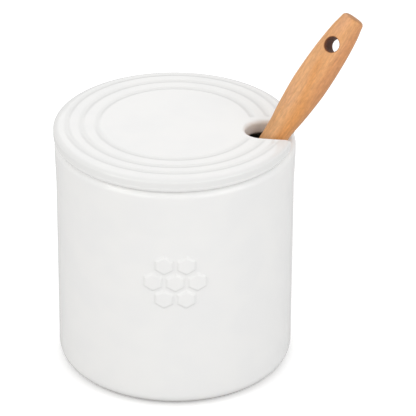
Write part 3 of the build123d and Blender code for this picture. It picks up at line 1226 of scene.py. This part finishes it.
        return make_piece("ribbed_head", [Patch(points)], "dipper", "dipper_head", silicone)


# ---- studio
@dataclass(frozen=True)
class Softbox:
    """A soft lamp that looks at the pot's middle."""

    name: str
    place: tuple[float, float, float]
    size: Pair  # width and height
    power: float
    colour: Colour = WHITE

    def build(self, aim: Vector) -> None:
        """Hangs the lamp.

        Args:
            aim: the point that it faces.
        """
        lamp = bpy.data.lights.new(self.name, "AREA")
        lamp.shape = "RECTANGLE"
        lamp.size, lamp.size_y = self.size
        lamp.energy = self.power
        lamp.color = self.colour
        holder = show(self.name, lamp)
        holder.location = self.place
        holder.rotation_euler = (aim - holder.location).to_track_quat("-Z", "Y").to_euler()


@dataclass
class Studio:
    """The floor, the lamps, the white surroundings and the camera."""

    picture: int = 416  # width and height of the picture, in pixels
    focal_pixels: float = 2894.5
    camera_distance: float = 1.2208
    camera_elevation: float = math.radians(28.76)
    camera_reach: Pair = (0.05, 20.0)
    aim_height: float = 0.06748
    axis_column: float = 175.22  # where the pot's axis stands in the picture, in pixels
    sensor_width: float = 36.0
    floor_half: float = 4.0
    floor_height: float = -0.1 * MM
    floor_colour: Colour = (0.68, 0.68, 0.68)
    cloud_scale: float = 3.0
    cloud_shade: float = 0.99
    floor_seen_colour: Colour = (0.95, 0.95, 0.95)
    floor_glow: Pair = (0.27, 0.34)  # lifts the seen floor to white near the pot and far from the lamps
    far_from: Pair = (0.4, 1.6)  # from where to where, off the pot's axis, the one turns into the other
    ambient: float = 0.75
    mirrored: float = 0.1  # how much of the white surroundings shows in the glaze
    softboxes: tuple[Softbox, ...] = (
        Softbox("left_strip", (-0.94, -0.56, 0.97), (0.56, 0.26), 1.8, (1.0, 0.985, 0.955)),
        Softbox("right_strip", (0.94, -0.56, 0.97), (0.56, 0.26), 1.3),
        Softbox("front_left_softbox", (-1.00, -1.10, 0.38), (1.2, 0.8), 4.3, (1.0, 0.99, 0.97)),
        Softbox("front_right_softbox", (1.00, -1.10, 0.38), (1.2, 0.8), 3.8),
        Softbox("side_softbox", (1.20, -0.25, 0.40), (0.8, 0.8), 0.7),
        Softbox("rear_softbox", (0.0, 1.00, 0.90), (0.8, 0.8), 1.6),
    )

    def build_camera(self) -> None:
        """The camera, turned aside from the pot's axis so that the axis stands in its column."""
        lens = bpy.data.cameras.new("camera")
        lens.sensor_width = self.sensor_width
        lens.lens = self.focal_pixels / self.picture * self.sensor_width
        lens.clip_start, lens.clip_end = self.camera_reach
        tilt = self.camera_elevation
        pan = math.atan((self.picture / 2 - self.axis_column) / self.focal_pixels)
        right = Vector((1.0, 0.0, 0.0))
        up = Vector((0.0, math.sin(tilt), math.cos(tilt)))
        ahead = Vector((0.0, math.cos(tilt), -math.sin(tilt)))
        place = Vector((0.0, 0.0, self.aim_height)) - ahead * self.camera_distance
        turned_right = right * math.cos(pan) - ahead * math.sin(pan)
        turned_ahead = ahead * math.cos(pan) + right * math.sin(pan)
        turned = Matrix((turned_right, up, -turned_ahead)).transposed().to_4x4()
        camera = show("camera", lens)
        camera.matrix_world = Matrix.Translation(place) @ turned
        bpy.context.scene.camera = camera

    def seen_share(self, canvas: Canvas) -> NodeSocket:
        """1 for rays from the camera and refracted ones, less for mirrored ones, and 0 for light.

        Args:
            canvas: the canvas that it goes on.

        Returns:
            The share.
        """
        path = canvas.add("ShaderNodeLightPath").outputs
        mirrored = canvas.times(path["Is Glossy Ray"], self.mirrored)
        seen = canvas.math("MAXIMUM", path["Is Camera Ray"], mirrored)
        return canvas.math("MAXIMUM", seen, path["Is Transmission Ray"])

    def build_floor(self) -> None:
        """A plain pale floor just under the pot, which keeps a light shadow."""
        material = bpy.data.materials.new("pale_floor")
        material.use_nodes = True
        canvas = Canvas(material.node_tree)
        place, seen = canvas.place(), self.seen_share(canvas)
        cloud = canvas.noise(place, self.cloud_scale, detail=1.0)
        plain = canvas.mix(cloud, self.floor_colour, scaled(self.floor_colour, self.cloud_shade))
        matt = canvas.add("ShaderNodeBsdfDiffuse", {"Color": canvas.mix(seen, plain, self.floor_seen_colour)})
        away = canvas.add("ShaderNodeVectorMath", {0: place}, operation="LENGTH").outputs["Value"]
        glow = canvas.times(seen, canvas.ease(away, *self.far_from, *self.floor_glow))
        white = canvas.add("ShaderNodeEmission", {"Color": WHITE, "Strength": glow})
        lifted = canvas.add("ShaderNodeAddShader", {0: matt.outputs[0], 1: white.outputs[0]})
        canvas.add("ShaderNodeOutputMaterial", {"Surface": lifted.outputs[0]})
        mesh = bpy.data.meshes.new("floor")
        corners = [(x * self.floor_half, y * self.floor_half, self.floor_height)
                   for x, y in ((-1, -1), (1, -1), (1, 1), (-1, 1))]
        mesh.from_pydata(corners, [], [(0, 1, 2, 3)])
        mesh.materials.append(material)
        floor = show("floor", mesh)

    def build_world(self) -> None:
        """White surroundings where they are seen, and softer light where they only light the pot."""
        world = bpy.data.worlds.new("studio")
        world.use_nodes = True
        bpy.context.scene.world = world
        canvas = Canvas(world.node_tree)
        strength = canvas.ease(self.seen_share(canvas), 0.0, 1.0, self.ambient, 1.0)
        white = canvas.add("ShaderNodeBackground", {"Color": WHITE, "Strength": strength})
        canvas.add("ShaderNodeOutputWorld", {"Surface": white.outputs[0]})

    def build(self, aim: Vector) -> None:
        """Sets up the whole studio.

        Args:
            aim: the point that the lamps face.
        """
        self.build_camera()
        self.build_floor()
        self.build_world()
        for softbox in self.softboxes:
            softbox.build(aim)
        bpy.context.scene.view_settings.view_transform = "Standard"


# ---- making
def report(piece: Object) -> None:
    """Logs a new piece: its triangles, and how many of its edges don't have exactly two faces.

    Args:
        piece: the piece.
    """
    mesh = piece.data
    edges = np.empty(len(mesh.loops), dtype=np.int32)
    mesh.loops.foreach_get("edge_index", edges)
    triangles = len(mesh.loops) - 2 * len(mesh.polygons)
    open_edges = np.count_nonzero(np.bincount(edges) != 2)
    LOG.info("%s: %d triangles, %d open edges", piece.name, triangles, open_edges)


def main() -> None:
    """Builds the studio and every piece, in order."""
    logging.basicConfig(level=logging.INFO, format="%(name)s: %(message)s")
    pot, lid, dipper = Pot(), Lid(), Dipper()
    Studio().build(Vector((0.0, 0.0, pot.height / 2)))
    glaze = Glaze().material()
    report(pot.build(glaze))
    report(lid.build(glaze))
    report(dipper.build_handle(Beech(dipper.placement).material()))
    report(dipper.build_head(SILICONE.material()))
    core = frame["nodes"]["dipper_core"]
    core.data.materials.clear()
    core.data.materials.append(CORE_PLASTIC.material())
    LOG.info("%s dressed", core.name)


if __name__ == "__main__":
    main()
